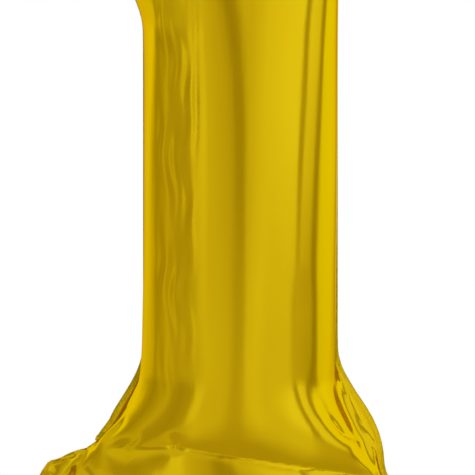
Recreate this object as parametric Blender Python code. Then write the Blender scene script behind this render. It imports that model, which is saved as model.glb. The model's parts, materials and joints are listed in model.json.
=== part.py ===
"""Foil number balloon, digit one: two welded film panels, an inflation tail with its valve, and two tabs.

World axes: X to the right of the digit's face, Y from the front to the back, Z up. The origin is the
centre of the top tab's eyelet, where the balloon hangs. Metres throughout.

Outlines are drawn in digit coordinates: x from the stem's middle line, z up from the foot slab's lower
side before the slab is tilted. The skin stands 0.8 mm thick here, so that each panel is a sound solid.
"""

import math

import bmesh
import bpy
import numpy as np
from mathutils import Matrix, Vector
from mathutils.geometry import delaunay_2d_cdt

# The inflated digit's outline, out to the edge of its weld
TOP_Z = 0.812
STEM_HALF = 0.088
SLAB_HALF = 0.197
SLAB_HEIGHT = 0.148
SLAB_END_DROP = 0.012
SLAB_TILT = math.radians(6.5)
SLAB_CORNER = 0.026
BASE_FLARE_WIDTH = 0.039
BASE_FLARE_RISE = 0.094
RIGHT_FLARE_LIFT = 0.030
FLAG_REACH = 0.205
FLAG_UNDER_Z = 0.622
FLAG_UNDER_DROP = 0.022
FLAG_TIP_HEIGHT = 0.118
FLAG_CORNER = 0.030
FLAG_FLARE_WIDTH = 0.028
FLAG_FLARE_RISE = 0.090
HEAD_LEFT = 0.052
HEAD_LEFT_CORNER = 0.055
HEAD_RIGHT_CORNER = 0.036
INNER_CORNER = 0.009
FLARE_STEPS = 6

# Film and welds
FILM = 0.0008
LOOSE_FILM = 0.0003
WELD_WIDTH = 0.005
GAP = 0.0003
FOLD_GAP = 0.0006
FULLEST_HEIGHT = 0.098
FULLNESS_POWER = 10

# Mesh spacing of the film panels
EDGE_STEP = 0.017
RING_INSETS = (0.0020, 0.0085)
LATTICE_STEP = 0.022
LATTICE_CLEARANCE = 0.0105
ARC_STEP = 0.004

# Hanging tabs
TAB_WIDTH = 0.024
TAB_REACH = 0.021
EYELET_RADIUS = 0.0025
EYELET_INSET = 0.0115
HANG_X = -0.012
BOTTOM_TAB_X = 0.105
ROUND_SEGMENTS = 32

# Inflation tail and the self-sealing valve inside it
TAIL_WIDTH = 0.030
TAIL_MOUTH_WIDTH = 0.025
TAIL_LENGTH = 0.075
TAIL_MOUTH_CORNER = 0.004
VALVE_WIDTH = 0.022
VALVE_LENGTH = 0.120

# Colours (linear), for the metallised film and the clear valve film
GOLD = (0.83, 0.58, 0.03, 1.0)
CLEAR_FILM = (0.82, 0.84, 0.85, 1.0)


def clear_scene():
    for found in list(bpy.data.objects):
        bpy.data.objects.remove(found)


def material(name, colour, metallic, roughness):
    made = bpy.data.materials.new(name)
    made.use_nodes = True
    shader = made.node_tree.nodes["Principled BSDF"]
    shader.inputs["Base Color"].default_value = colour
    shader.inputs["Metallic"].default_value = metallic
    shader.inputs["Roughness"].default_value = roughness
    return made


def world_from_digit(x, z):
    """A point of the seam plane, in the world, from digit coordinates."""
    eyelet_z = TOP_Z + FOLD_GAP + EYELET_INSET
    return Vector((x - HANG_X, 0.0, z - eyelet_z))


# ---- outline ----------------------------------------------------------------------------------------


def tilted(x, z):
    """A point of the foot slab after the slab turns clockwise about the middle of its lower side."""
    turn = Matrix.Rotation(-SLAB_TILT, 2)
    return tuple(turn @ Vector((x, z)))


def slab_top_at(x):
    """Height of the tilted slab's upper side over a place on the stem's scale."""
    return SLAB_HEIGHT / math.cos(SLAB_TILT) - x * math.tan(SLAB_TILT)


def flare(x_wide, z_wide, x_narrow, z_narrow):
    """Points along a raised-cosine bracket, from the wide end towards the stem, with no rounding."""
    points = []
    for step in range(1, FLARE_STEPS + 1):
        share = step / FLARE_STEPS
        left = 0.5 + 0.5 * math.cos(math.pi * share)
        x = x_narrow + (x_wide - x_narrow) * left
        points.append((x, z_wide + (z_narrow - z_wide) * share, 0.0))
    return points


def base_flare(side):
    """The stem's flare over one foot. The right one ends above its foot, in a short straight side."""
    x_wide = side * (STEM_HALF + BASE_FLARE_WIDTH)
    foot = slab_top_at(x_wide)
    corner = [(x_wide, foot, INNER_CORNER)]
    wide_end = foot + (RIGHT_FLARE_LIFT if side > 0 else 0.0)
    return corner + flare(x_wide, wide_end, side * STEM_HALF, wide_end + BASE_FLARE_RISE)


def flag_flare():
    x_wide = -(STEM_HALF + FLAG_FLARE_WIDTH)
    corner = [(x_wide, FLAG_UNDER_Z, INNER_CORNER)]
    return corner + flare(x_wide, FLAG_UNDER_Z, -STEM_HALF, FLAG_UNDER_Z - FLAG_FLARE_RISE)


def corners():
    """The outline's corners, anticlockwise seen from the front, each as (x, z, rounding radius)."""
    flag_low_z = FLAG_UNDER_Z - FLAG_UNDER_DROP
    slab_end_height = SLAB_HEIGHT - SLAB_END_DROP
    slab = [
        (*tilted(-SLAB_HALF, slab_end_height), SLAB_CORNER),
        (*tilted(-SLAB_HALF, 0.0), SLAB_CORNER),
        (*tilted(SLAB_HALF, 0.0), SLAB_CORNER),
        (*tilted(SLAB_HALF, slab_end_height), SLAB_CORNER),
    ]
    head = [
        (STEM_HALF, TOP_Z, HEAD_RIGHT_CORNER),
        (-HEAD_LEFT, TOP_Z, HEAD_LEFT_CORNER),
        (-FLAG_REACH, flag_low_z + FLAG_TIP_HEIGHT, FLAG_CORNER),
        (-FLAG_REACH, flag_low_z, FLAG_CORNER),
    ]
    return slab + base_flare(1) + head + flag_flare() + base_flare(-1)[::-1]


def corner_arc(before, corner, after, radius):
    """The arc that rounds one corner, as points from the side of `before` to the side of `after`."""
    to_before = (before - corner).normalized()
    to_after = (after - corner).normalized()
    half_angle = to_before.angle(to_after) / 2
    reach = radius / math.tan(half_angle)
    middle = corner + (to_before + to_after).normalized() * (radius / math.sin(half_angle))
    start = corner + to_before * reach - middle
    end = corner + to_after * reach - middle
    sweep = start.angle_signed(end)
    count = max(2, math.ceil(abs(sweep) * radius / ARC_STEP))
    return [middle + Matrix.Rotation(-sweep * k / count, 2) @ start for k in range(count + 1)]


def rounded(points):
    """The closed outline through (x, z, radius) corners, as an array of points."""
    path = []
    for i, (x, z, radius) in enumerate(points):
        corner = Vector((x, z))
        before = Vector(points[i - 1][:2])
        after = Vector(points[(i + 1) % len(points)][:2])
        path += corner_arc(before, corner, after, radius) if radius else [corner]
    return np.array([tuple(point) for point in path])


def evenly_spaced(path, step):
    """The closed path again, with points at equal distances along it."""
    closed = np.vstack([path, path[:1]])
    run = np.concatenate([[0.0], np.cumsum(np.linalg.norm(np.diff(closed, axis=0), axis=1))])
    places = np.linspace(0.0, run[-1], round(run[-1] / step), endpoint=False)
    return np.column_stack([np.interp(places, run, closed[:, axis]) for axis in (0, 1)])


def inset(path, distance):
    """The path moved inwards, at right angles to itself."""
    along = np.roll(path, -1, axis=0) - np.roll(path, 1, axis=0)
    along /= np.linalg.norm(along, axis=1)[:, None]
    return path + distance * np.column_stack([-along[:, 1], along[:, 0]])


# ---- film panels ------------------------------------------------------------------------------------


def inside(points, path):
    """Which points the closed path holds, by counting its crossings to the right of each."""
    held = np.zeros(len(points), bool)
    for (x0, z0), (x1, z1) in zip(path, np.roll(path, -1, axis=0)):
        spans = (z0 > points[:, 1]) != (z1 > points[:, 1])
        rise = (z1 - z0) or 1.0
        crossing = x0 + (x1 - x0) * (points[:, 1] - z0) / rise
        held ^= spans & (points[:, 0] < crossing)
    return held


def distance_to(points, path):
    nearest = np.full(len(points), np.inf)
    for start, end in zip(path, np.roll(path, -1, axis=0)):
        side = end - start
        share = np.clip((points - start) @ side / (side @ side), 0.0, 1.0)
        nearest = np.minimum(nearest, np.linalg.norm(points - start - share[:, None] * side, axis=1))
    return nearest


def lattice_within(path):
    """A triangular lattice of points that stay clear of the path's inner side."""
    low, high = path.min(axis=0), path.max(axis=0)
    rows = []
    for row, z in enumerate(np.arange(low[1], high[1], LATTICE_STEP * math.sqrt(3) / 2)):
        start = low[0] + (row % 2) * LATTICE_STEP / 2
        across = np.arange(start, high[0], LATTICE_STEP)
        rows.append(np.column_stack([across, np.full(len(across), z)]))
    points = np.vstack(rows)
    points = points[inside(points, path)]
    return points[distance_to(points, path) > LATTICE_CLEARANCE]


def thinned_ring(seam, distance):
    """A ring of points inside the seam, without those that crowd together past an outward corner."""
    ring = inset(seam, distance)
    return ring[distance_to(ring, seam) > 0.93 * distance]


def panel_points():
    """Flat points of one panel and how many of them lie on the weld, its outer edge first."""
    edge = evenly_spaced(rounded(corners()), EDGE_STEP)
    seam = inset(edge, WELD_WIDTH)
    rings = [thinned_ring(seam, distance) for distance in RING_INSETS]
    field = lattice_within(inset(seam, RING_INSETS[-1]))
    return np.vstack([edge, seam, *rings, field]), len(edge)


def triangles_between(points, edge_count):
    """Triangles over the whole panel that keep the weld's two edges as mesh edges."""
    loops = []
    for first in (0, edge_count):
        loops += [(first + k, first + (k + 1) % edge_count) for k in range(edge_count)]
    flat = [Vector(point) for point in points]
    flat_points, _, faces, *_ = delaunay_2d_cdt(flat, loops, [], 1, 1e-7)
    return np.array([tuple(point) for point in flat_points]), np.array([tuple(face) for face in faces])


def inflated_heights(points, faces, weld_count):
    """How far pressure lifts each point off the seam plane.

    The square of the height, u, has a Laplacian of -2 and is zero on the weld, so a long strip
    becomes a half circle: u = a^2 - x^2. Each triangle gives its share of the equation.
    """
    count = len(points)
    stiffness = np.zeros((count, count))
    load = np.zeros(count)
    for face in faces:
        corner = points[face]
        sides = np.roll(corner, -1, axis=0) - np.roll(corner, -2, axis=0)
        area = abs(np.cross(sides[0], sides[1])) / 2
        stiffness[np.ix_(face, face)] += sides @ sides.T / (4 * area)
        load[face] += 2 * area / 3
    free = np.arange(weld_count, count)
    squared = np.zeros(count)
    squared[free] = np.linalg.solve(stiffness[np.ix_(free, free)], load[free])
    return np.sqrt(squared)


def held_back(heights):
    """The same heights where film that can't stretch keeps the fullest places flatter."""
    return heights / (1 + (heights / FULLEST_HEIGHT) ** FULLNESS_POWER) ** (1 / FULLNESS_POWER)


def add_panel(name, side, flat, faces, heights, film_material):
    """One film panel. side is -1 for the front and +1 for the back; the film grows outwards."""
    bm = bmesh.new()
    lift = GAP / 2 + heights
    for (x, z), height in zip(flat, lift):
        place = world_from_digit(x, z)
        bm.verts.new((place.x, side * height, place.z))
    bm.verts.ensure_lookup_table()
    for face in faces:
        bm.faces.new([bm.verts[i] for i in face])
    bmesh.ops.recalc_face_normals(bm, faces=bm.faces)
    bm.normal_update()
    if sum(face.normal.y * face.calc_area() for face in bm.faces) * side < 0:
        bmesh.ops.reverse_faces(bm, faces=bm.faces)
    panel = object_from(bm, name, film_material)
    solid = panel.modifiers.new("Film thickness", "SOLIDIFY")
    solid.thickness = FILM
    solid.offset = 1.0
    return panel


# ---- flat pieces ------------------------------------------------------------------------------------


def object_from(bm, name, piece_material, smooth_angle=math.radians(50)):
    mesh = bpy.data.meshes.new(name)
    bm.to_mesh(mesh)
    bm.free()
    mesh.shade_smooth()
    mesh.set_sharp_from_angle(angle=smooth_angle)
    mesh.materials.append(piece_material)
    made = bpy.data.objects.new(name, mesh)
    bpy.context.scene.collection.objects.link(made)
    return made


def add_flat_piece(name, outline, y_low, thickness, piece_material, pivot, turn=0.0):
    """A flat piece from an (x, z) outline around its own pivot, with its origin on that pivot."""
    bm = bmesh.new()
    ring = [bm.verts.new((x, y_low, z)) for x, z in outline]
    face = bm.faces.new(ring)
    grown = bmesh.ops.extrude_face_region(bm, geom=[face])
    moved = [item for item in grown["geom"] if isinstance(item, bmesh.types.BMVert)]
    bmesh.ops.translate(bm, verts=moved, vec=(0.0, thickness, 0.0))
    bmesh.ops.recalc_face_normals(bm, faces=bm.faces)
    piece = object_from(bm, name, piece_material)
    piece.location = pivot
    piece.rotation_euler = (0.0, turn, 0.0)
    return piece


def punch_eyelet(tab, pivot, turn, eyelet_z):
    """A round hole through a tab, cut by a hidden cylinder that lies along Y."""
    bm = bmesh.new()
    lying = Matrix.Rotation(math.pi / 2, 4, "X")
    bmesh.ops.create_cone(
        bm,
        cap_ends=True,
        segments=ROUND_SEGMENTS,
        radius1=EYELET_RADIUS,
        radius2=EYELET_RADIUS,
        depth=20 * FILM,
        matrix=Matrix.Translation((0.0, 0.0, eyelet_z)) @ lying,
    )
    cutter = object_from(bm, tab.name + "_punch", tab.data.materials[0])
    cutter.location = pivot
    cutter.rotation_euler = (0.0, turn, 0.0)
    cutter.hide_render = True
    cutter.display_type = "WIRE"
    hole = tab.modifiers.new("Eyelet", "BOOLEAN")
    hole.operation = "DIFFERENCE"
    hole.object = cutter


def tab_outline(direction):
    """A tab with a straight root and a half-round end; direction is +1 upwards, -1 downwards."""
    radius = TAB_WIDTH / 2
    middle = direction * (TAB_REACH - radius)
    steps = ROUND_SEGMENTS // 2
    end = []
    for k in range(steps + 1):
        angle = math.pi * k / steps
        end.append((radius * math.cos(angle), middle + direction * radius * math.sin(angle)))
    return [(-radius, 0.0), (radius, 0.0)] + end


def add_tab(name, x, z, direction, turn, film_material):
    """A welded tab of both films, hinged along its root at the digit's edge."""
    pivot = world_from_digit(x, z)
    thickness = 2 * LOOSE_FILM + GAP
    tab = add_flat_piece(name, tab_outline(direction), -thickness / 2, thickness, film_material, pivot, turn)
    punch_eyelet(tab, pivot, turn, direction * EYELET_INSET)


def tail_outline():
    """The tail's ply, from its root down to the open mouth, whose two corners are rounded."""
    root, mouth = TAIL_WIDTH / 2, TAIL_MOUTH_WIDTH / 2
    points = [(root, 0.0, 0.0), (-root, 0.0, 0.0)]
    points += [(-mouth, -TAIL_LENGTH, TAIL_MOUTH_CORNER), (mouth, -TAIL_LENGTH, TAIL_MOUTH_CORNER)]
    return rounded(points)


def below_slab(x_along, drop):
    """The place at a distance along the tilted slab's lower side and `drop` outside it."""
    return world_from_digit(*tilted(x_along, -drop))


def add_tail(film_material):
    """Front and back plies of the inflation tail, hinged along the slab's lower side."""
    pivot = below_slab(0.0, FOLD_GAP)
    for name, y_low in (("tail_front_ply", -GAP / 2 - LOOSE_FILM), ("tail_back_ply", GAP / 2)):
        add_flat_piece(name, tail_outline(), y_low, LOOSE_FILM, film_material, pivot, SLAB_TILT)


def add_valve(valve_material):
    """The two films of the self-sealing valve, hanging free inside the slab above the tail."""
    half = VALVE_WIDTH / 2
    outline = [(-half, 0.0), (half, 0.0), (half, VALVE_LENGTH), (-half, VALVE_LENGTH)]
    pivot = below_slab(0.0, -WELD_WIDTH - GAP)
    for name, y_low in (("valve_front_film", -GAP / 2 - LOOSE_FILM), ("valve_back_film", GAP / 2)):
        add_flat_piece(name, outline, y_low, LOOSE_FILM, valve_material, pivot, SLAB_TILT)


def add_envelope(film_material):
    points, edge_count = panel_points()
    flat, faces = triangles_between(points, edge_count)
    heights = held_back(inflated_heights(flat, faces, 2 * edge_count))
    add_panel("front_panel", -1, flat, faces, heights, film_material)
    add_panel("back_panel", 1, flat, faces, heights, film_material)


def main():
    clear_scene()
    gold_film = material("gold_film", GOLD, metallic=1.0, roughness=0.14)
    valve_film = material("valve_film", CLEAR_FILM, metallic=0.0, roughness=0.3)
    add_envelope(gold_film)
    add_tail(gold_film)
    add_valve(valve_film)
    add_tab("top_tab", HANG_X, TOP_Z + FOLD_GAP, 1, 0.0, gold_film)
    add_tab("bottom_tab", *tilted(BOTTOM_TAB_X, -FOLD_GAP), -1, SLAB_TILT, gold_film)


main()
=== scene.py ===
import json
import math
from collections import namedtuple

import bpy
import numpy as np
from mathutils import Matrix, Vector
from mathutils.geometry import delaunay_2d_cdt


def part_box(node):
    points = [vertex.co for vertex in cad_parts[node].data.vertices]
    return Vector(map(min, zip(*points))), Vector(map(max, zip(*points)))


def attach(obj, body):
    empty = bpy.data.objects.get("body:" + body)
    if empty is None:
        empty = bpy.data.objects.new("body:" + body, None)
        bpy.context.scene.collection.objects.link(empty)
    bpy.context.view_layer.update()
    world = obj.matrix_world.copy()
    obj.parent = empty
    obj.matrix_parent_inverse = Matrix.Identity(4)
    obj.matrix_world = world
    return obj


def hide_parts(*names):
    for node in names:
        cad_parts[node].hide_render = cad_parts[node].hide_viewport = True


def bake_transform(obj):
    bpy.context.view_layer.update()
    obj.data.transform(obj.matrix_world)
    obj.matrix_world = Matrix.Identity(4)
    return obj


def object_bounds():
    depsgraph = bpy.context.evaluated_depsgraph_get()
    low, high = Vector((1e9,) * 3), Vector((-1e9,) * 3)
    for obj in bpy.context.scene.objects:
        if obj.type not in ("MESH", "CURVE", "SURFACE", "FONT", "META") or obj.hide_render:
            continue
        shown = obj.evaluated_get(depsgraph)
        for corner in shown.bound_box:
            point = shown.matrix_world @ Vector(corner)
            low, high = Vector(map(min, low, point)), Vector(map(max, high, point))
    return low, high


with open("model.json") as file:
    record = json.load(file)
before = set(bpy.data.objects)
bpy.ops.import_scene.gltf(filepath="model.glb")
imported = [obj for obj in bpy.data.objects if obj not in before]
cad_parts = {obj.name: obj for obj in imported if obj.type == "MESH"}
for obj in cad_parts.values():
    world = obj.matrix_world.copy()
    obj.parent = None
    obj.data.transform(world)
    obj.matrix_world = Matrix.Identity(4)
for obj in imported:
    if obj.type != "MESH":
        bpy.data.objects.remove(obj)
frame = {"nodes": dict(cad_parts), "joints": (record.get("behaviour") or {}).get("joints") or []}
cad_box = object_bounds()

# ---- places from the frame --------------------------------------------------------------------------

WELD = 0.005
PANEL_LOW, PANEL_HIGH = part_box("front_panel")
JOINTS = {joint["name"]: joint for joint in frame["joints"]}

# The digit's outlines, in metres, from the stem's middle line and the foot's lower side. Both follow the
# weld's inner edge: PATTERN is the film as it is cut, FILLED is the same edge once gas pulls it in. The
# slab is the foot, the flag is the digit's short arm, and the flares widen the stem towards them.
Outline = namedtuple(
    "Outline",
    "top stem slab_half slab_height slab_drop slab_corner base_flare base_rise flag_reach flag_z"
    " right_lift flag_droop flag_tip flag_corner flag_flare flag_rise head_left head_left_corner"
    " head_right_corner inner",
)
PATTERN = Outline(
    top=0.868, stem=0.1315, slab_half=0.223, slab_height=0.186, slab_drop=0.006, slab_corner=0.038,
    base_flare=0.034, base_rise=0.104, right_lift=0.032, flag_reach=0.244, flag_z=0.668, flag_droop=0.022,
    flag_tip=0.150, flag_corner=0.040, flag_flare=0.026, flag_rise=0.104, head_left=0.040,
    head_left_corner=0.080, head_right_corner=0.050, inner=0.018,
)
FILLED = Outline(
    top=0.807, stem=0.0828, slab_half=0.192, slab_height=0.143, slab_drop=0.012, slab_corner=0.021,
    base_flare=0.0400, base_rise=0.094, right_lift=0.030, flag_reach=0.200, flag_z=0.627, flag_droop=0.020,
    flag_tip=0.108, flag_corner=0.028, flag_flare=0.028, flag_rise=0.090, head_left=0.047,
    head_left_corner=0.055, head_right_corner=0.034, inner=0.012,
)
SLAB_TILT = math.radians(6.5)
FLARE_STEPS = 16
ARC_STEPS = 6
STEM_MIDDLE = PANEL_LOW.x + WELD + FILLED.flag_reach
SLAB_FOOT = PANEL_HIGH.z - WELD - FILLED.top

# ---- film -------------------------------------------------------------------------------------------

# The simulation's mesh, and how the rim is held while the gas fills it
FILM_STEP = 0.0085
FILM_JITTER = 0.10
JITTER_SEED = 3
FILM_START_GAP = 0.001
RIM_CLEARANCE = 0.62
DELAUNAY_TOLERANCE = 1e-8
SETTLE_FRAMES = 60
PULL_IN_FRAMES = 25
GAS_PRESSURE = 20.0
STEM_RIM_HOLD = 0.95
STEM_RIM_MARGIN = 0.002
PUCKER_RIM_HOLD = 0.8
RIM_STIFFNESS = 4.0

# The finer mesh that the simulated film is carried over to. It is finest in the FINE_ZONE of the front,
# given by how far it reaches each side of the middle and by its lowest and highest places.
RIM_STEP = 0.0040
FINE_STEP = 0.0026
BACK_STEP = 0.0052
FINE_ZONE = (0.20, 0.14, 0.64)
FILM_THICKNESS = 0.00025
WELD_GAP = 0.0001

# How the simulated film is smoothed. COMB is the long smoothing along the stem, EVEN is where the stem
# gets the depth that it has at EVEN_HEIGHT, and MIRRORED is where its two sides are made alike. Outside
# the stem PUCKER_REACH holds. Heights are on the cut pattern, and each pair of them is a fade, from where
# there is no effect to where there is all of it.
PUCKER_REACH = 0.0045
COMB_LOW = (0.150, 0.360)
COMB_HIGH = (0.710, 0.560)
COMB_REACH = 0.095
COMB_WIDTH = 0.008
EVEN_FROM = 0.217
EVEN_HIGH = (0.720, 0.600)
EVEN_HEIGHT = 0.430
DEPTH_SAMPLES = 80
MIRRORED_LOW = (0.220, 0.330)
MIRRORED_HIGH = (0.670, 0.570)
STEM_MARGIN = 0.006
EDGES_OVER_SLAB = 0.030
EDGES_UNDER_FLAG = 0.005
HEIGHT_SAMPLES = 400
CHUNK = 2000
SOLVER_FLOOR = 1e-9

# Where the rim is brought back to its even outline: near the flaps, and along the stem between two fades
# of height on the filled outline.
FLAP_HOLD = 0.020
FLAP_RELEASE = 0.045
CALM_LOW = (0.165, 0.200)
CALM_HIGH = (0.600, 0.550)
CALM_SHARE = 0.85
RIM_BLEND = 0.008

# The crease between the stem and the foot, from one inner corner to the other. Its places, and those of
# the folds and ripples below, are on the filled film.
WAIST = ((-0.127, 0.163), (-0.062, 0.168), (0.016, 0.156), (0.094, 0.143), (0.127, 0.134))
WAIST_DEPTH = 0.0060
WAIST_REACH_ABOVE = 0.022
WAIST_REACH_BELOW = 0.012
WAIST_TAPER = 0.025

# Folds in the front sheet: the line each follows, its height, its half-width, and whether it is sharp.
LINE_FOLDS = (
    (((-0.0400, 0.640), (-0.0395, 0.520), (-0.0390, 0.390)), -0.0006, 0.0035, True),
    (((0.0530, 0.330), (0.0570, 0.270), (0.0600, 0.215)), -0.0006, 0.0100, False),
    (((0.0560, 0.235), (0.0760, 0.200), (0.0940, 0.181), (0.1080, 0.170)), -0.0018, 0.0085, False),
    (((0.0740, 0.200), (0.0930, 0.180), (0.1080, 0.169)), -0.0024, 0.0040, True),
    (((-0.0590, 0.182), (-0.0595, 0.160)), -0.0030, 0.0034, True),
    (((-0.1260, 0.168), (-0.1120, 0.182), (-0.1020, 0.196)), -0.0022, 0.0036, True),
    (((-0.1220, 0.160), (-0.1060, 0.170), (-0.0880, 0.178)), -0.0018, 0.0040, True),
)
FOLD_TAPER = 0.35

# Fine ripples down the left of the stem. Each wander is its height, its length and its start.
RIPPLE_BAND = (-0.078, -0.036)
RIPPLE_EDGE = 0.008
RIPPLE_FOOT = (0.20, 0.26)
RIPPLE_LENGTH = 0.0115
RIPPLE_HEIGHT = 0.00042
RIPPLE_WANDERS = ((0.9, 0.021, 0.0), (0.7, 0.0095, 1.3))
RIPPLE_MEAN = 0.55
RIPPLE_SWELL = 0.45
RIPPLE_SWELL_LENGTHS = (0.006, 0.017)


def tilted(x, z):
    """A point of the foot slab, turned clockwise about the middle of its lower side."""
    return tuple(Matrix.Rotation(-SLAB_TILT, 2) @ Vector((x, z)))


def flare(x_wide, z_wide, x_narrow, z_narrow):
    """A raised-cosine bracket from the wide end to the stem, as corners with no rounding."""
    points = []
    for step in range(1, FLARE_STEPS + 1):
        share = step / FLARE_STEPS
        left = 0.5 + 0.5 * math.cos(math.pi * share)
        points.append((x_narrow + (x_wide - x_narrow) * left, z_wide + (z_narrow - z_wide) * share, 0.0))
    return points


def base_flare(shape, side):
    """The stem's flare over one foot. The right one ends above its foot, in a short straight side."""
    x_wide = side * (shape.stem + shape.base_flare)
    foot = shape.slab_height / math.cos(SLAB_TILT) - x_wide * math.tan(SLAB_TILT)
    corner = [(x_wide, foot, shape.inner)]
    wide_end = foot + (shape.right_lift if side > 0 else 0.0)
    return corner + flare(x_wide, wide_end, side * shape.stem, wide_end + shape.base_rise)


def flag_flare(shape):
    x_wide = -(shape.stem + shape.flag_flare)
    corner = [(x_wide, shape.flag_z, shape.inner)]
    return corner + flare(x_wide, shape.flag_z, -shape.stem, shape.flag_z - shape.flag_rise)


def corners(shape):
    """The outline's corners as (x, z, rounding radius), anticlockwise seen from the front."""
    slab_end = shape.slab_height - shape.slab_drop
    flag_low = shape.flag_z - shape.flag_droop
    slab = [
        (*tilted(-shape.slab_half, slab_end), shape.slab_corner),
        (*tilted(-shape.slab_half, WELD), shape.slab_corner),
        (*tilted(shape.slab_half, WELD), shape.slab_corner),
        (*tilted(shape.slab_half, slab_end), shape.slab_corner),
    ]
    head = [
        (shape.stem, shape.top, shape.head_right_corner),
        (-shape.head_left, shape.top, shape.head_left_corner),
        (-shape.flag_reach, flag_low + shape.flag_tip, shape.flag_corner),
        (-shape.flag_reach, flag_low, shape.flag_corner),
    ]
    return slab + base_flare(shape, 1) + head + flag_flare(shape) + base_flare(shape, -1)[::-1]


def corner_arc(before, corner, after, radius):
    to_before = (before - corner).normalized()
    to_after = (after - corner).normalized()
    half_angle = to_before.angle(to_after) / 2
    reach = radius / math.tan(half_angle)
    middle = corner + (to_before + to_after).normalized() * (radius / math.sin(half_angle))
    start = corner + to_before * reach - middle
    sweep = start.angle_signed(corner + to_after * reach - middle)
    return [middle + Matrix.Rotation(-sweep * k / ARC_STEPS, 2) @ start for k in range(ARC_STEPS + 1)]


def outline_path(shape):
    """The closed outline with its corners rounded. Every shape gives the same number of points."""
    points = corners(shape)
    path = []
    for i, (x, z, radius) in enumerate(points):
        corner = Vector((x, z))
        before = Vector(points[i - 1][:2])
        after = Vector(points[(i + 1) % len(points)][:2])
        path += corner_arc(before, corner, after, radius) if radius else [corner]
    return np.array([tuple(point) for point in path])


def run_along(closed_path):
    return np.concatenate([[0.0], np.cumsum(np.linalg.norm(np.diff(closed_path, axis=0), axis=1))])


def matching_rims(step):
    """Evenly spaced points on the cut pattern's rim, and where the same points lie once it is filled."""
    pattern, filled = (np.vstack([path, path[:1]]) for path in map(outline_path, (PATTERN, FILLED)))
    run, filled_run = run_along(pattern), run_along(filled)
    places = np.linspace(0.0, run[-1], round(run[-1] / step), endpoint=False)
    filled_places = np.interp(places, run, filled_run)
    rim = np.column_stack([np.interp(places, run, pattern[:, axis]) for axis in (0, 1)])
    filled_rim = np.column_stack([np.interp(filled_places, filled_run, filled[:, axis]) for axis in (0, 1)])
    return rim, filled_rim


def outwards(path, distance):
    along = np.roll(path, -1, axis=0) - np.roll(path, 1, axis=0)
    along /= np.linalg.norm(along, axis=1)[:, None]
    return path + distance * np.column_stack([along[:, 1], -along[:, 0]])


def inside(points, path):
    """Which points the closed path holds, by counting its crossings to the right of each."""
    held = np.zeros(len(points), bool)
    for (x0, z0), (x1, z1) in zip(path, np.roll(path, -1, axis=0)):
        spans = (z0 > points[:, 1]) != (z1 > points[:, 1])
        held ^= spans & (points[:, 0] < x0 + (x1 - x0) * (points[:, 1] - z0) / ((z1 - z0) or 1.0))
    return held


def distance_to(points, path):
    nearest = np.full(len(points), np.inf)
    for start, end in zip(path, np.roll(path, -1, axis=0)):
        side = end - start
        share = np.clip((points - start) @ side / (side @ side), 0.0, 1.0)
        nearest = np.minimum(nearest, np.linalg.norm(points - start - share[:, None] * side, axis=1))
    return nearest


def lattice(low, high, step):
    rows = []
    for row, z in enumerate(np.arange(low[1], high[1], step * math.sqrt(3) / 2)):
        across = np.arange(low[0] + (row % 2) * step / 2, high[0], step)
        rows.append(np.column_stack([across, np.full(len(across), z)]))
    points = np.vstack(rows)
    return points + np.random.default_rng(JITTER_SEED).uniform(-FILM_JITTER, FILM_JITTER, points.shape) * step


def triangulated(rings, field):
    """Triangles over closed rings of points and the field of points between them."""
    loops = []
    start = 0
    for ring in rings:
        loops += [(start + k, start + (k + 1) % len(ring)) for k in range(len(ring))]
        start += len(ring)
    points = [Vector(point) for point in np.vstack([*rings, field])]
    placed, _, faces, *_ = delaunay_2d_cdt(points, loops, [], 1, DELAUNAY_TOLERANCE)
    return np.array([tuple(point) for point in placed]), np.array([tuple(face) for face in faces])


def film_triangles(rim, step, fine_step=None, fine_zone=None):
    """Points over the cut pattern, the rim's first, and the triangles between them."""
    low, high = rim.min(axis=0), rim.max(axis=0)
    field = lattice(low, high, step)
    if fine_step:
        fine = lattice(low, high, fine_step)
        field = np.vstack([field[~fine_zone(field)], fine[fine_zone(fine)]])
    field = field[inside(field, rim)]
    field = field[distance_to(field, rim) > RIM_CLEARANCE * (fine_step or step)]
    placed, faces = triangulated([rim], field)
    return placed, faces[inside(placed[faces].mean(axis=1), rim)]


def in_seam_plane(flat, y=0.0):
    return np.column_stack([flat[:, 0], np.full(len(flat), y), flat[:, 1]])


def weld_strip(count, outer_start):
    """Faces between the rim, whose points come first, and the weld's outer edge."""
    ring = np.arange(count)
    ahead = (ring + 1) % count
    outer, outer_ahead = outer_start + ring, outer_start + ahead
    halves = np.column_stack([ring, outer, outer_ahead]), np.column_stack([ring, outer_ahead, ahead])
    return np.vstack(halves)


class Film:
    """The mesh that is simulated: two film sheets, joined at their rim, with the weld outside it.

    Its points are in this order: the rim, the front sheet, the back sheet, the weld's outer edge.
    """

    def __init__(self):
        rim, filled_rim = matching_rims(FILM_STEP)
        flat, faces = film_triangles(rim, FILM_STEP)
        self.rim_count = len(rim)
        self.sheet_count = len(flat)
        self.field_count = self.sheet_count - self.rim_count
        self.weld_start = self.sheet_count + self.field_count
        back_of = np.arange(self.sheet_count)
        back_of[self.rim_count:] += self.field_count
        self.front_faces = faces
        self.back_faces = back_of[faces][:, ::-1]
        self.weld_faces = weld_strip(self.rim_count, self.weld_start)
        self.flat_area = polygon_area(rim) + WELD * run_along(np.vstack([rim, rim[:1]]))[-1]
        self.flat_size = np.ptp(outwards(rim, WELD), axis=0)
        self.start = np.vstack(
            [
                in_seam_plane(rim),
                in_seam_plane(flat[self.rim_count:], -FILM_START_GAP),
                in_seam_plane(flat[self.rim_count:], FILM_START_GAP),
                in_seam_plane(outwards(rim, WELD)),
            ]
        )
        self.target = self.start.copy()
        self.target[: self.rim_count] = in_seam_plane(filled_rim)
        self.target[self.weld_start:] = in_seam_plane(outwards(filled_rim, WELD))

    def all_faces(self):
        return np.vstack([self.front_faces, self.back_faces, self.weld_faces])


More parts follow.
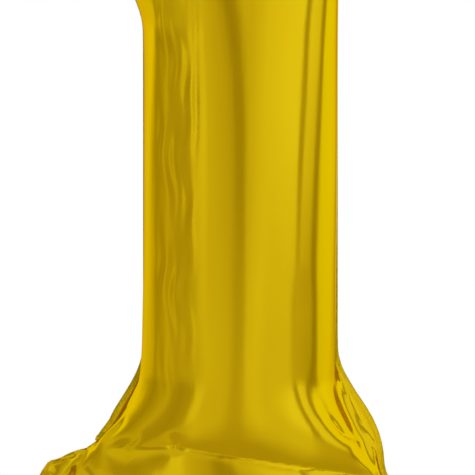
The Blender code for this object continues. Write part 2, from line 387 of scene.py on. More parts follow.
def polygon_area(path):
    x, z = path.T
    return abs(np.dot(x, np.roll(z, -1)) - np.dot(z, np.roll(x, -1))) / 2


def mesh_object(name, points, faces):
    mesh = bpy.data.meshes.new(name)
    mesh.from_pydata([tuple(map(float, point)) for point in points], [], [tuple(map(int, f)) for f in faces])
    mesh.update()
    made = bpy.data.objects.new(name, mesh)
    bpy.context.scene.collection.objects.link(made)
    return made


def vertex_places(obj):
    evaluated = obj.evaluated_get(bpy.context.evaluated_depsgraph_get())
    mesh = evaluated.to_mesh()
    places = np.empty(len(mesh.vertices) * 3, np.float32)
    mesh.vertices.foreach_get("co", places)
    evaluated.to_mesh_clear()
    return places.reshape(-1, 3).astype(float)


def fill_with_gas(film):
    """Cloth simulation: gas lifts the two sheets while the rim is drawn in to its filled outline."""
    sheet = mesh_object("film_simulation", film.start, film.all_faces())
    sheet.shape_key_add(name="flat")
    drawn_in = sheet.shape_key_add(name="filled")
    drawn_in.data.foreach_set("co", film.target.ravel().astype(np.float32))
    for value, frame_number in ((0.0, 1), (1.0, PULL_IN_FRAMES)):
        drawn_in.value = value
        drawn_in.keyframe_insert("value", frame=frame_number)
    sheet.vertex_groups.new(name="gas").add(list(range(film.weld_start)), 1.0, "REPLACE")
    hold_rim(sheet, film)
    cloth = sheet.modifiers.new("Film", "CLOTH")
    film_settings(cloth.settings)
    cloth.collision_settings.use_collision = False
    cloth.point_cache.frame_start = 1
    cloth.point_cache.frame_end = SETTLE_FRAMES
    scene = bpy.context.scene
    scene.frame_start, scene.frame_end = 1, SETTLE_FRAMES
    for frame_number in range(1, SETTLE_FRAMES + 1):
        scene.frame_set(frame_number)
    places = vertex_places(sheet)
    bpy.data.objects.remove(sheet)
    scene.frame_set(1)
    return places


def hold_rim(sheet, film):
    """Holds the rim to its place, more loosely where the film puckers."""
    held = sheet.vertex_groups.new(name="rim")
    reach = PATTERN.stem + PATTERN.base_flare + STEM_RIM_MARGIN
    for i in range(film.rim_count):
        x, _, z = film.start[i]
        in_stem = abs(x) < reach and PATTERN.slab_height < z < PATTERN.flag_z
        held.add([i], STEM_RIM_HOLD if in_stem else PUCKER_RIM_HOLD, "REPLACE")


def film_settings(settings):
    settings.quality = 6
    settings.mass = 0.3
    settings.tension_stiffness = 200.0
    settings.compression_stiffness = 4.0
    settings.shear_stiffness = 4.0
    settings.bending_stiffness = 1.5
    settings.tension_damping = 5.0
    settings.compression_damping = 5.0
    settings.shear_damping = 5.0
    settings.air_damping = 3.0
    settings.use_pressure = True
    settings.uniform_pressure_force = GAS_PRESSURE
    settings.vertex_group_pressure = "gas"
    settings.vertex_group_mass = "rim"
    settings.pin_stiffness = RIM_STIFFNESS
    settings.effector_weights.gravity = 0.0


def stem_edges(shape, heights):
    """How far the outline lies left and right of the stem's middle line, at each height."""
    path = outline_path(shape)
    ends = np.roll(path, -1, axis=0)
    left, right = [], []
    for height in np.clip(heights, shape.slab_height + EDGES_OVER_SLAB, shape.flag_z - EDGES_UNDER_FLAG):
        crossed = (path[:, 1] > height) != (ends[:, 1] > height)
        share = (height - path[crossed, 1]) / (ends[crossed, 1] - path[crossed, 1])
        places = path[crossed, 0] + share * (ends[crossed, 0] - path[crossed, 0])
        left.append(-places[places < 0].max())
        right.append(places[places > 0].min())
    return np.array(left), np.array(right)


def stem_share(flat, low, high):
    """1 along the stem, fading to 0 below and above it over the two ranges of height."""
    return faded(flat[:, 1], *low) * faded(-flat[:, 1], -high[0], -high[1])


def chunks(count):
    """The numbers up to count, in runs short enough to compare with every point at once."""
    return np.array_split(np.arange(count), math.ceil(count / CHUNK))


class Comb:
    """Smooths the simulated film: a little in the puckers, and far along the grain in the stem.

    A point's distance from the middle is divided by the width there, so the smoothing follows the flares.
    """

    def __init__(self):
        self.heights = np.linspace(0.0, 1.0, HEIGHT_SAMPLES)
        self.pattern_edges = stem_edges(PATTERN, self.heights)
        self.filled_edges = stem_edges(FILLED, self.heights * FILLED.top / PATTERN.top)

    def half_widths(self, flat, edges):
        left, right = (np.interp(flat[:, 1], self.heights, edge) for edge in edges)
        return np.where(flat[:, 0] < 0, left, right)

    def grain(self, flat):
        """Each point's place across and along the grain."""
        across = flat[:, 0] * PATTERN.stem / self.half_widths(flat, self.pattern_edges)
        return np.column_stack([across, flat[:, 1]])

    def reach(self, flat):
        """How far the smoothing reaches across and along the grain at each point."""
        across = np.abs(self.grain(flat)[:, 0])
        in_stem = faded(PATTERN.stem + STEM_MARGIN - across, 0.0, 2 * STEM_MARGIN)
        share = in_stem * stem_share(flat, COMB_LOW, COMB_HIGH)
        return [PUCKER_REACH + share * (longest - PUCKER_REACH) for longest in (COMB_WIDTH, COMB_REACH)]

    def evened_depth(self, known, flat, places):
        """Gives the stem one depth all along, so that its shine runs straight."""
        heights = np.linspace(EVEN_FROM, EVEN_HIGH[0], DEPTH_SAMPLES)
        crest = self.fit(*known, np.column_stack([np.zeros(DEPTH_SAMPLES), heights]))[:, 1]
        share = faded(-flat[:, 1], -EVEN_HIGH[0], -EVEN_HIGH[1])
        usual = np.interp(EVEN_HEIGHT, heights, crest)
        places[:, 1] *= (usual / np.interp(flat[:, 1], heights, crest)) ** share
        return places

    def fit(self, known_flat, known_places, counts, flat):
        """The smoothed places of any points of the film, by a weighted straight-line fit around each."""
        known = self.grain(known_flat)
        wanted = self.grain(flat)
        values = known_places.copy()
        values[:, 0] /= self.half_widths(known_flat, self.filled_edges)
        values[:, 2] -= known_flat[:, 1]
        reach_across, reach_along = self.reach(flat)
        fitted = np.empty((len(flat), 3))
        for chunk in chunks(len(flat)):
            across = (known[None, :, 0] - wanted[chunk, None, 0]) / reach_across[chunk, None]
            along = (known[None, :, 1] - wanted[chunk, None, 1]) / reach_along[chunk, None]
            weight = np.exp(-0.5 * (across**2 + along**2)) * counts
            basis = [np.ones_like(across), across, along]
            weighted = [weight * base for base in basis]
            matrix = np.stack(
                [np.stack([(w * base).sum(axis=1) for base in basis], axis=-1) for w in weighted], axis=-2
            )
            right_side = np.stack([w @ values for w in weighted], axis=-2)
            matrix += np.eye(3) * SOLVER_FLOOR
            fitted[chunk] = np.linalg.solve(matrix, right_side)[:, 0]
        fitted[:, 0] *= self.half_widths(flat, self.filled_edges)
        fitted[:, 2] += flat[:, 1]
        return fitted


def along_rim(rim, places, fine_rim):
    """Where the points of a finer rim lie, taken evenly between the simulated points of the rim."""
    run = run_along(np.vstack([rim, rim[:1]]))
    fine_run = run_along(np.vstack([fine_rim, fine_rim[:1]]))
    wanted = fine_run[:-1] * run[-1] / fine_run[-1]
    closed = np.vstack([places, places[:1]])
    return np.column_stack([np.interp(wanted, run, closed[:, axis]) for axis in range(3)])


def with_mirrored_stem(flat, places):
    """Adds the stem's mirror image, so that its smoothed front has its crest in the middle."""
    counts = stem_share(flat, MIRRORED_LOW, MIRRORED_HIGH)
    stem = counts > 0
    return (
        np.vstack([flat, flat[stem] * (-1, 1)]),
        np.vstack([places, places[stem] * (-1, 1, 1)]),
        np.concatenate([np.ones(len(flat)), counts[stem]]),
    )


def calmed(places, even_places):
    """Brings the rim to its even outline along the stem, and beside the flaps, which stiffen it."""
    x, _, z = even_places.T
    in_stem = np.abs(x) < FILLED.stem + FILLED.base_flare + WELD
    pucker = 1.0 - CALM_SHARE * (in_stem * stem_share(even_places[:, [0, 2]], CALM_LOW, CALM_HIGH))
    for joint in JOINTS.values():
        hinge = np.array(joint["pos_m"]) - (STEM_MIDDLE, 0.0, SLAB_FOOT)
        pucker *= faded(np.linalg.norm(even_places - hinge, axis=1), FLAP_HOLD, FLAP_RELEASE)
    return even_places + (places - even_places) * pucker[:, None]


def nearest_index(points, path):
    nearest = np.empty(len(points), int)
    for chunk in chunks(len(points)):
        gaps = np.linalg.norm(points[chunk, None] - path[None], axis=2)
        nearest[chunk] = gaps.argmin(axis=1)
    return nearest


def in_fine_zone(flat):
    half, low, high = FINE_ZONE
    return (np.abs(flat[:, 0]) < half) & (flat[:, 1] > low) & (flat[:, 1] < high)


def fine_edges(film, places, rim, filled_rim):
    """Where the finer rim and the outer edge of its weld lie."""
    film_rim = film.start[: film.rim_count][:, [0, 2]]
    rim_places = along_rim(film_rim, places[: film.rim_count], rim)
    weld_places = along_rim(film_rim, places[film.weld_start:], rim)
    return (
        calmed(rim_places, in_seam_plane(filled_rim)),
        calmed(weld_places, in_seam_plane(outwards(filled_rim, WELD))),
    )


def smoothed_sheet(film, places, comb, front, flat):
    """Where the points of a finer mesh of one sheet lie."""
    field_start = film.rim_count if front else film.sheet_count
    known = np.r_[0: film.rim_count, field_start: field_start + film.field_count]
    mirrored = with_mirrored_stem(film.start[known][:, [0, 2]], places[known])
    return comb.evened_depth(mirrored, flat, comb.fit(*mirrored, flat))


def fine_sheet(film, places, comb, front):
    """One film sheet on a finer mesh, with its weld. Gives its points, faces, and where its weld starts."""
    rim, filled_rim = matching_rims(RIM_STEP)
    if front:
        flat, faces = film_triangles(rim, BACK_STEP, FINE_STEP, in_fine_zone)
    else:
        flat, faces = film_triangles(rim, BACK_STEP)
    made = smoothed_sheet(film, places, comb, front, flat)
    rim_places, weld_places = fine_edges(film, places, rim, filled_rim)
    missed = rim_places - made[: len(rim)]
    fade = np.exp(-((distance_to(flat, rim) / RIM_BLEND) ** 2))
    made += missed[nearest_index(flat, rim)] * fade[:, None]
    made = np.vstack([made, weld_places])
    faces = np.vstack([faces, weld_strip(len(rim), len(flat))])
    if not front:
        faces = faces[:, ::-1]
    return folded(made, faces, len(flat), len(rim), front), faces, len(flat)


def faded(value, low, high):
    """0 up to low, 1 from high, and smooth between them."""
    share = np.clip((value - low) / (high - low), 0.0, 1.0)
    return share * share * (3.0 - 2.0 * share)


def distance_to_line(x, z, line):
    """Distance from each point to an open line, and how far along the line its nearest place is, 0 to 1."""
    points = np.column_stack([x, z])
    line = np.array(line)
    nearest = np.full(len(points), np.inf)
    place = np.zeros(len(points))
    sides = len(line) - 1
    for k in range(sides):
        side = line[k + 1] - line[k]
        share = np.clip((points - line[k]) @ side / (side @ side), 0.0, 1.0)
        distance = np.linalg.norm(points - line[k] - share[:, None] * side, axis=1)
        closer = distance < nearest
        nearest = np.where(closer, distance, nearest)
        place = np.where(closer, (k + share) / sides, place)
    return nearest, place


def waist_crease(x, z):
    """The crease between the stem and the foot slab, sharp at the line and steeper below it."""
    above = z - np.interp(x, *zip(*WAIST))
    reach = np.where(above > 0, WAIST_REACH_ABOVE, WAIST_REACH_BELOW)
    ends = faded(WAIST[-1][0] - np.abs(x), 0.0, WAIST_TAPER)
    return -WAIST_DEPTH * np.exp(-np.abs(above) / reach) * ends


def line_folds(x, z):
    """Folds along lines: a negative height is a valley. Each tapers to nothing at its ends."""
    relief = np.zeros(len(x))
    for line, height, width, sharp in LINE_FOLDS:
        distance, place = distance_to_line(x, z, line)
        profile = np.exp(-distance / width) if sharp else np.exp(-((distance / width) ** 2))
        relief += height * profile * faded(place, 0.0, FOLD_TAPER) * faded(1.0 - place, 0.0, FOLD_TAPER)
    return relief


def stem_ripples(x, z):
    """Long fine ripples that wander and swell as they run down the left of the stem."""
    low, high = RIPPLE_BAND
    band = faded(x, low, low + RIPPLE_EDGE) * faded(-x, -high, -high + RIPPLE_EDGE)
    wander = sum(height * np.sin(z / length + start) for height, length, start in RIPPLE_WANDERS)
    across, along = RIPPLE_SWELL_LENGTHS
    strength = RIPPLE_MEAN + RIPPLE_SWELL * np.sin(z / along + x / across)
    span = faded(z, *RIPPLE_FOOT)
    return RIPPLE_HEIGHT * np.sin(x / RIPPLE_LENGTH * 2 * math.pi + wander) * strength * band * span


def outward_normals(places, faces):
    corners_of = places[faces]
    across = np.cross(corners_of[:, 1] - corners_of[:, 0], corners_of[:, 2] - corners_of[:, 0])
    normals = np.zeros_like(places)
    for corner in range(3):
        np.add.at(normals, faces[:, corner], across)
    return normals / np.linalg.norm(normals, axis=1)[:, None].clip(1e-12)


def folded(places, faces, sheet_count, rim_count, front):
    """The sheet with its creases and folds, which its rim and weld don't take."""
    x, z = places[:, 0], places[:, 2]
    relief = waist_crease(x, z)
    if front:
        relief += line_folds(x, z) + stem_ripples(x, z)
    relief[:rim_count] = 0.0
    relief[sheet_count:] = 0.0
    return places + relief[:, None] * outward_normals(places, faces)


def to_world(places):
    return places + np.array([STEM_MIDDLE, 0.0, SLAB_FOOT])


def thicken(piece, thickness, offset):
    """Gives a sheet its thickness: outwards with an offset of 1, and to both sides with 0."""
    thick = piece.modifiers.new("Film thickness", "SOLIDIFY")
    thick.thickness = thickness
    thick.offset = offset


def film_piece(name, places, faces, sheet_count, film_material, weld_material):
    """One sheet with its half of the weld."""
    piece = mesh_object(name, to_world(places), faces)
    piece.data.shade_smooth()
    piece.data.materials.append(film_material)
    piece.data.materials.append(weld_material)
    in_weld = (faces >= sheet_count).any(axis=1)
    piece.data.polygons.foreach_set("material_index", in_weld.astype(np.int32))
    thicken(piece, FILM_THICKNESS, 1.0)
    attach(piece, "envelope")
    return piece


def make_envelope(film_material, weld_material):
    film = Film()
    places = fill_with_gas(film)
    comb = Comb()
    for name, node, side in (("front_film", "front_panel", -1), ("back_film", "back_panel", 1)):
        made, faces, sheet_count = fine_sheet(film, places, comb, side < 0)
        made[:, 1] += side * WELD_GAP
        piece = film_piece(name, made, faces, sheet_count, film_material, weld_material)
        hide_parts(node)
        tuple(film.flat_size)


# ---- tail and tabs ----------------------------------------------------------------------------------

TAIL_HALF = 0.015
MOUTH_HALF = 0.0125
TAIL_LENGTH = 0.075
MOUTH_CORNER = 0.004
TAB_HALF = 0.012
TAB_REACH = 0.021
EYELET_RADIUS = 0.0025
EYELET_INSET = 0.0115
EYELET_SIDES = 28
ROOT_REACH = 0.004
FLAP_STEP = 0.0015
EDGE_CLEARANCE = 0.6
EYELET_CLEARANCE = 0.5
PLY_THICKNESS = 0.00025
TAB_THICKNESS = 0.0005
PLY_GAP = 0.0001
TAIL_PUFF = 0.0009

# Waves and creases of the loose film: height, length away from the hinge, length across, and start. Each
# fades in over a range of distance from the hinge.
TAIL_WAVES = ((0.0016, 0.0068, 0.011, 0.0), (0.0010, 0.0041, -0.006, 0.0))
TAIL_CREASES = ((0.0007, 0.0095, 0.0075, 0.0), (-0.0006, 0.0130, -0.0100, 0.8))
TAIL_WAVES_FROM = (0.002, 0.040)
TAB_WAVES = ((0.0005, 0.0031, 0.0045, 0.0),)
TAB_WAVES_FROM = (0.001, 0.010)


def tail_outline():
    """The tail in its own plane: x across, and z away from its hinge. Its root reaches into the weld."""
    right_side, left_side = Vector((TAIL_HALF, 0.0)), Vector((-TAIL_HALF, 0.0))
    right_end, left_end = Vector((MOUTH_HALF, TAIL_LENGTH)), Vector((-MOUTH_HALF, TAIL_LENGTH))
    mouth = corner_arc(right_side, right_end, left_end, MOUTH_CORNER)
    mouth += corner_arc(right_end, left_end, left_side, MOUTH_CORNER)
    root = [(-TAIL_HALF, 0.0), (-TAIL_HALF, -ROOT_REACH), (TAIL_HALF, -ROOT_REACH), (TAIL_HALF, 0.0)]
    return np.array(root + [tuple(point) for point in mouth])


def tab_outline():
    middle = TAB_REACH - TAB_HALF
    angles = np.linspace(0.0, math.pi, EYELET_SIDES)
    end = np.column_stack([TAB_HALF * np.cos(angles), middle + TAB_HALF * np.sin(angles)])
    return np.vstack([[(-TAB_HALF, -ROOT_REACH), (TAB_HALF, -ROOT_REACH)], end])


def eyelet():
    angles = np.linspace(0.0, 2 * math.pi, EYELET_SIDES, endpoint=False)
    return np.column_stack([EYELET_RADIUS * np.cos(angles), EYELET_INSET + EYELET_RADIUS * np.sin(angles)])


def evenly_along(path, step):
    closed = np.vstack([path, path[:1]])
    run = run_along(closed)
    places = np.linspace(0.0, run[-1], round(run[-1] / step), endpoint=False)
    return np.column_stack([np.interp(places, run, closed[:, axis]) for axis in (0, 1)])


def flap_triangles(outline, hole):
    """Points over a flap, and the triangles between them. The hole may be None."""
    edge = evenly_along(outline, FLAP_STEP)
    field = lattice(edge.min(axis=0), edge.max(axis=0), FLAP_STEP)
    field = field[inside(field, edge) & (distance_to(field, edge) > EDGE_CLEARANCE * FLAP_STEP)]
    rings = [edge]
    if hole is not None:
        field = field[~inside(field, hole) & (distance_to(field, hole) > EYELET_CLEARANCE * FLAP_STEP)]
        rings.append(hole)
    placed, faces = triangulated(rings, field)
    middles = placed[faces].mean(axis=1)
    kept = inside(middles, edge)
    if hole is not None:
        kept &= ~inside(middles, hole)
    return placed, faces[kept]


def crinkle(across, away, waves, profile=np.positive):
    return sum(
        height * profile(np.sin(away / away_length + across / across_length + start))
        for height, away_length, across_length, start in waves
    )


def tail_crinkle(across, away):
    """The tail's soft waves and sharp diagonal creases, from nothing at the hinge to most at the mouth."""
    waves = crinkle(across, away, TAIL_WAVES)
    creases = crinkle(across, away, TAIL_CREASES, np.abs)
    return (waves + creases) * faded(away, *TAIL_WAVES_FROM)


def tab_crinkle(across, away):
    return crinkle(across, away, TAB_WAVES) * faded(away, *TAB_WAVES_FROM)


def ply_lift(side):
    """How far one ply of the tail stands off the seam plane. The plies part towards the open mouth."""
    def lift(across, away):
        puff = TAIL_PUFF * faded(away, 0.0, TAIL_LENGTH) * np.clip(1 - (across / MOUTH_HALF) ** 2, 0, 1)
        gap = PLY_GAP * faded(away, 0.0, TAIL_HALF)
        return tail_crinkle(across, away) + side * (gap + PLY_THICKNESS / 2 + puff)

    return lift


def make_flap(name, node, joint, outline, hole, lift, thickness, flap_material):
    """A flap of film that hangs from the weld by its root, laid out from its hinge."""
    pivot = Vector(joint["pos_m"])
    across_axis = Vector(joint["axis"]).normalized()
    away_axis = Vector((-across_axis.z, 0.0, across_axis.x))
    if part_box(node)[0].z < pivot.z - TAB_REACH / 2:
        away_axis.negate()
    flat, faces = flap_triangles(outline, hole)
    across, away = flat.T
    axes = np.array([across_axis, (0.0, 1.0, 0.0), away_axis])
    places = np.array(pivot) + np.column_stack([across, lift(across, away), away]) @ axes
    piece = mesh_object(name, places, faces)
    piece.data.shade_smooth()
    piece.data.materials.append(flap_material)
    thicken(piece, thickness, 0.0)
    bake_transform(piece)
    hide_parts(node)
    area = polygon_area(outline) - (polygon_area(hole) if hole is not None else 0.0)


def make_tail(flap_material):
    """Two plies, welded along both edges and open at the mouth."""
    joint = JOINTS["tail_flex"]
    for name, side in (("tail_front", -1), ("tail_back", 1)):
        lift = ply_lift(side)
        make_flap(name, name + "_ply", joint, tail_outline(), None, lift, PLY_THICKNESS, flap_material)


def make_tabs(flap_material):
    outline, hole = tab_outline(), eyelet()
    for name in ("top_tab", "bottom_tab"):
        joint = JOINTS[name + "_flex"]
        make_flap(name + "_film", name, joint, outline, hole, tab_crinkle, TAB_THICKNESS, flap_material)


# ---- materials --------------------------------------------------------------------------------------

GOLD = (0.83, 0.585, 0.006, 1.0)
DEEP_GOLD = (0.80, 0.540, 0.005, 1.0)
GOLD_EDGE = (0.86, 0.62, 0.05, 1.0)
CLOUDY_FILM = (0.78, 0.80, 0.82, 1.0)
CLEAR_FILM = (0.86, 0.88, 0.89, 1.0)
EVEN = (1.0, 1.0, 1.0)


class Nodes:
    """Short names for building a node tree."""

    def __init__(self, tree):
        self.tree = tree

    def add(self, kind, **settings):
        node = self.tree.nodes.new("ShaderNode" + kind)
        for name, value in settings.items():
            setattr(node, name, value)
        return node

    def link(self, source, target):
        self.tree.links.new(source, target)

    def noise(self, scale, stretch, detail):
        """Noise over the object's own coordinates, drawn out by `stretch` along each axis."""
        where = self.add("TexCoord")
        mapping = self.add("Mapping")
        mapping.inputs["Scale"].default_value = stretch
        noise = self.add("TexNoise")
        noise.inputs["Scale"].default_value = scale
        noise.inputs["Detail"].default_value = detail
        self.link(where.outputs["Object"], mapping.inputs["Vector"])
        self.link(mapping.outputs["Vector"], noise.inputs["Vector"])
        return noise.outputs["Fac"]

    def between(self, source, low, high):
        """Spreads a 0 to 1 value over a range."""
        spread = self.add("MapRange")
        spread.inputs["To Min"].default_value = low
        spread.inputs["To Max"].default_value = high
        self.link(source, spread.inputs["Value"])
        return spread.outputs["Result"]

    def ramp(self, source, stops):
        made = self.add("ValToRGB")
        elements = made.color_ramp.elements
        for _ in stops[2:]:
            elements.new(1.0)
        for element, (position, color) in zip(elements, stops):
            element.position = position
            element.color = color
        self.link(source, made.inputs["Fac"])
        return made.outputs["Color"]

    def bump(self, height, strength, distance, under=None):
        made = self.add("Bump")
        made.inputs["Strength"].default_value = strength
        made.inputs["Distance"].default_value = distance
        self.link(height, made.inputs["Height"])
        if under is not None:
            self.link(under, made.inputs["Normal"])
        return made.outputs["Normal"]


def new_material(name):
    made = bpy.data.materials.new(name)
    made.use_nodes = True
    return made, Nodes(made.node_tree), made.node_tree.nodes["Principled BSDF"]


def metallised_film(name):
    """Gold film whose shade shifts a little along its length."""
    made, nodes, shader = new_material(name)
    shader.inputs["Metallic"].default_value = 1.0
    shader.inputs["Specular Tint"].default_value = GOLD_EDGE
    drift = nodes.noise(scale=14.0, stretch=(1.0, 1.0, 0.3), detail=3.0)
    shade = nodes.ramp(drift, ((0.35, DEEP_GOLD), (0.65, GOLD)))
    nodes.link(shade, shader.inputs["Base Color"])
    return made, nodes, shader


def gold_film_material():
    """Smooth bright film, with long faint drawing lines and a fine overall crinkle."""
    made, nodes, shader = metallised_film("gold_film")
    rough = nodes.between(nodes.noise(scale=40.0, stretch=(1.0, 1.0, 0.4), detail=4.0), low=0.08, high=0.16)
    nodes.link(rough, shader.inputs["Roughness"])
    lines = nodes.noise(scale=55.0, stretch=(1.0, 1.0, 0.10), detail=2.0)
    drawn = nodes.bump(lines, strength=0.25, distance=0.0006)
    crinkle = nodes.noise(scale=160.0, stretch=(1.0, 1.0, 0.5), detail=3.0)
    crinkled = nodes.bump(crinkle, strength=0.10, distance=0.0002, under=drawn)
    nodes.link(crinkled, shader.inputs["Normal"])
    return made


def weld_material():
    """The heat-sealed border: duller, and pressed all over with a fine grid by the sealing iron."""
    made, nodes, shader = metallised_film("gold_weld")
    rough = nodes.between(nodes.noise(scale=120.0, stretch=EVEN, detail=3.0), low=0.26, high=0.40)
    nodes.link(rough, shader.inputs["Roughness"])
    where = nodes.add("TexCoord")
    grid = nodes.add("TexVoronoi")
    grid.inputs["Scale"].default_value = 900.0
    grid.inputs["Randomness"].default_value = 0.15
    nodes.link(where.outputs["Object"], grid.inputs["Vector"])
    pressed = nodes.bump(grid.outputs["Distance"], strength=0.5, distance=0.0002)
    crinkle = nodes.noise(scale=180.0, stretch=EVEN, detail=3.0)
    crinkled = nodes.bump(crinkle, strength=0.6, distance=0.0010, under=pressed)
    nodes.link(crinkled, shader.inputs["Normal"])
    return made


def tail_film_material():
    """The same film where it is loose: crumpled, so its shine breaks up."""
    made, nodes, shader = metallised_film("gold_tail")
    rough = nodes.between(nodes.noise(scale=90.0, stretch=EVEN, detail=4.0), low=0.14, high=0.28)
    nodes.link(rough, shader.inputs["Roughness"])
    crumple = nodes.noise(scale=110.0, stretch=(1.0, 1.0, 0.7), detail=5.0)
    crumpled = nodes.bump(crumple, strength=0.5, distance=0.0012)
    nodes.link(crumpled, shader.inputs["Normal"])
    return made


def valve_film_material():
    """Clear soft polyethylene with a slightly cloudy, wrinkled surface."""
    made, nodes, shader = new_material("valve_film")
    drift = nodes.noise(scale=60.0, stretch=(1.0, 1.0, 0.3), detail=4.0)
    cloud = nodes.ramp(drift, ((0.3, CLOUDY_FILM), (0.7, CLEAR_FILM)))
    nodes.link(cloud, shader.inputs["Base Color"])
    shader.inputs["Transmission Weight"].default_value = 0.7
    shader.inputs["IOR"].default_value = 1.5
    rough = nodes.between(nodes.noise(scale=150.0, stretch=(1.0, 1.0, 0.5), detail=3.0), low=0.25, high=0.45)
    nodes.link(rough, shader.inputs["Roughness"])
    wrinkles = nodes.noise(scale=120.0, stretch=(1.0, 1.0, 0.3), detail=3.0)
    wrinkled = nodes.bump(wrinkles, strength=0.4, distance=0.0008)
    nodes.link(wrinkled, shader.inputs["Normal"])
    return made


# ---- studio -----------------------------------------------------------------------------------------

CAMERA_LENS = 200.0
SENSOR = 36.0
VIEW_HEIGHT = 0.4275
VIEW_CENTRE = Vector((STEM_MIDDLE - 0.0027, 0.0, SLAB_FOOT + 0.352))
FLOOR_DROP = 0.35
FLOOR_RADIUS = 5.5
FLOOR_SIDES = 96
FLOOR_SOLID = 0.2
FLOOR_GREY = (0.88, 0.88, 0.88, 1.0)
FLOOR_ROUGHNESS = 0.8
PLAIN_WHITE = (1.0, 1.0, 1.0, 1.0)

# The Mix node's sockets for colours
MIX_A, MIX_B, MIX_RESULT = 6, 7, 2

# Brightness round the studio, by the heading in degrees that a reflection looks along: 0 is back towards
# the camera and + is to its right. HIGH is above the camera's own height and LOW is below it. The fades
# are heights in degrees: from LOW to HIGH, from the floor to the walls, and from them to the ceiling.
HIGH_STUDIO = (
    (-180, 0.90), (-160, 0.60), (-150, 0.95), (-126, 0.95), (-116, 0.50), (-106, 0.40), (-84, 0.60),
    (-78, 0.46), (-64, 0.42), (-50, 0.50), (-45, 0.80), (-37, 0.84), (-33, 0.68), (-12, 0.57), (-6, 0.52),
    (-3, 0.40), (3, 0.40), (8, 0.66), (26, 0.84), (46, 0.90), (61, 0.95), (63, 0.42), (68, 0.42),
    (70, 0.92), (84, 0.84), (88, 0.42), (93, 0.42), (97, 0.95), (134, 0.95), (146, 0.57), (158, 0.98),
    (180, 0.90),
)
LOW_STUDIO = (
    (-180, 0.90), (-160, 0.60), (-150, 0.90), (-130, 0.85), (-118, 0.78), (-109, 0.46), (-97, 0.57),
    (-88, 0.65), (-80, 0.52), (-66, 0.56), (-50, 0.60), (-34, 0.72), (-12, 0.67), (-5, 0.56), (3, 0.57),
    (8, 0.76), (19, 0.81), (31, 0.74), (58, 0.75), (66, 0.60), (86, 0.54), (89, 0.36), (95, 0.36),
    (101, 0.80), (126, 0.90), (146, 0.57), (158, 0.98), (180, 0.90),
)
STUDIO_SPLIT = (-3.5, 3.0)
FLOOR_LEVEL = 0.50
FLOOR_FADE = (-22.0, -7.0)
CEILING_LEVEL = 0.66
CEILING_FADE = (22.0, 46.0)
GREEN_GAIN = 1.03
GREEN_POWER = 1.21


def studio_color(level):
    """Brighter light is greener, so that the gold turns towards yellow where it shines."""
    green = GREEN_GAIN * level**GREEN_POWER
    return (level, green, green * level, 1.0)


def ray_headings(nodes):
    """A ray's heading as 0 to 1, where 0.5 looks back towards the camera, and its height in degrees."""
    where = nodes.add("TexCoord")
    parts = nodes.add("SeparateXYZ")
    nodes.link(where.outputs["Generated"], parts.inputs["Vector"])
    towards = nodes.add("Math", operation="MULTIPLY")
    towards.inputs[1].default_value = -1.0
    nodes.link(parts.outputs["Y"], towards.inputs[0])
    angle = nodes.add("Math", operation="ARCTAN2")
    nodes.link(parts.outputs["X"], angle.inputs[0])
    nodes.link(towards.outputs["Value"], angle.inputs[1])
    turn = nodes.add("MapRange")
    turn.inputs["From Min"].default_value = -math.pi
    turn.inputs["From Max"].default_value = math.pi
    nodes.link(angle.outputs["Value"], turn.inputs["Value"])
    rise = nodes.add("Math", operation="ARCSINE")
    nodes.link(parts.outputs["Z"], rise.inputs[0])
    degrees = nodes.add("Math", operation="DEGREES")
    nodes.link(rise.outputs["Value"], degrees.inputs[0])
    return turn.outputs["Result"], degrees.outputs["Value"]


def blended(nodes, height, fade, below, above):
    """One colour below the fade's heights and another above them."""
    share = nodes.add("MapRange", interpolation_type="SMOOTHSTEP")
    share.inputs["From Min"].default_value, share.inputs["From Max"].default_value = fade
    nodes.link(height, share.inputs["Value"])
    mix = nodes.add("Mix", data_type="RGBA")
    nodes.link(share.outputs["Result"], mix.inputs["Factor"])
    for source, socket in ((below, mix.inputs[MIX_A]), (above, mix.inputs[MIX_B])):
        if isinstance(source, tuple):
            socket.default_value = source
        else:
            nodes.link(source, socket)
    return mix.outputs[MIX_RESULT]


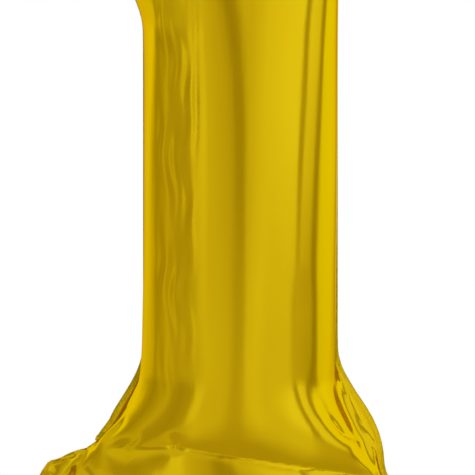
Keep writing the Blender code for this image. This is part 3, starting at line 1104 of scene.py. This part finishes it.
def make_world():
    """The studio, which only reflections see. Everything else sees plain white."""
    world = bpy.data.worlds.new("studio")
    bpy.context.scene.world = world
    world.use_nodes = True
    nodes = Nodes(world.node_tree)
    background = world.node_tree.nodes["Background"]
    heading, height = ray_headings(nodes)
    high, low = (
        nodes.ramp(heading, [((angle + 180) / 360, studio_color(level)) for angle, level in studio])
        for studio in (HIGH_STUDIO, LOW_STUDIO)
    )
    walls = blended(nodes, height, STUDIO_SPLIT, low, high)
    over_floor = blended(nodes, height, FLOOR_FADE, studio_color(FLOOR_LEVEL), walls)
    room = blended(nodes, height, CEILING_FADE, over_floor, studio_color(CEILING_LEVEL))
    path = nodes.add("LightPath")
    glossy = nodes.add("Mix", data_type="RGBA")
    glossy.inputs[MIX_A].default_value = PLAIN_WHITE
    nodes.link(path.outputs["Is Glossy Ray"], glossy.inputs["Factor"])
    nodes.link(room, glossy.inputs[MIX_B])
    nodes.link(glossy.outputs[MIX_RESULT], background.inputs["Color"])


def make_floor():
    """A round pale floor that fades out into the white background."""
    place = (0.0, 0.0, cad_box[0][2] - FLOOR_DROP)
    bpy.ops.mesh.primitive_circle_add(
        vertices=FLOOR_SIDES, radius=FLOOR_RADIUS, fill_type="NGON", location=place
    )
    floor = bpy.context.object
    floor.name = "floor"
    made, nodes, shader = new_material("pale_floor")
    shader.inputs["Base Color"].default_value = FLOOR_GREY
    shader.inputs["Roughness"].default_value = FLOOR_ROUGHNESS
    where = nodes.add("TexCoord")
    out = nodes.add("VectorMath", operation="LENGTH")
    nodes.link(where.outputs["Object"], out.inputs[0])
    shown = nodes.add("MapRange", interpolation_type="SMOOTHSTEP")
    shown.inputs["From Min"].default_value = FLOOR_RADIUS
    shown.inputs["From Max"].default_value = FLOOR_SOLID * FLOOR_RADIUS
    nodes.link(out.outputs["Value"], shown.inputs["Value"])
    nodes.link(shown.outputs["Result"], shader.inputs["Alpha"])
    floor.data.materials.append(made)
    floor.visible_glossy = False


def make_camera():
    lens = bpy.data.cameras.new("camera")
    lens.lens = CAMERA_LENS
    lens.sensor_width = SENSOR
    camera = bpy.data.objects.new("camera", lens)
    bpy.context.scene.collection.objects.link(camera)
    distance = VIEW_HEIGHT * CAMERA_LENS / SENSOR
    camera.location = VIEW_CENTRE - Vector((0.0, distance, 0.0))
    camera.rotation_euler = (math.pi / 2, 0.0, 0.0)
    bpy.context.scene.camera = camera


make_camera()
make_world()
make_floor()
bpy.context.scene.view_settings.view_transform = "Standard"
tail_film = tail_film_material()
make_envelope(gold_film_material(), weld_material())
make_tail(tail_film)
make_tabs(tail_film)
valve_film = valve_film_material()
for valve_node in ("valve_front_film", "valve_back_film"):
    frame["nodes"][valve_node].data.materials[0] = valve_film
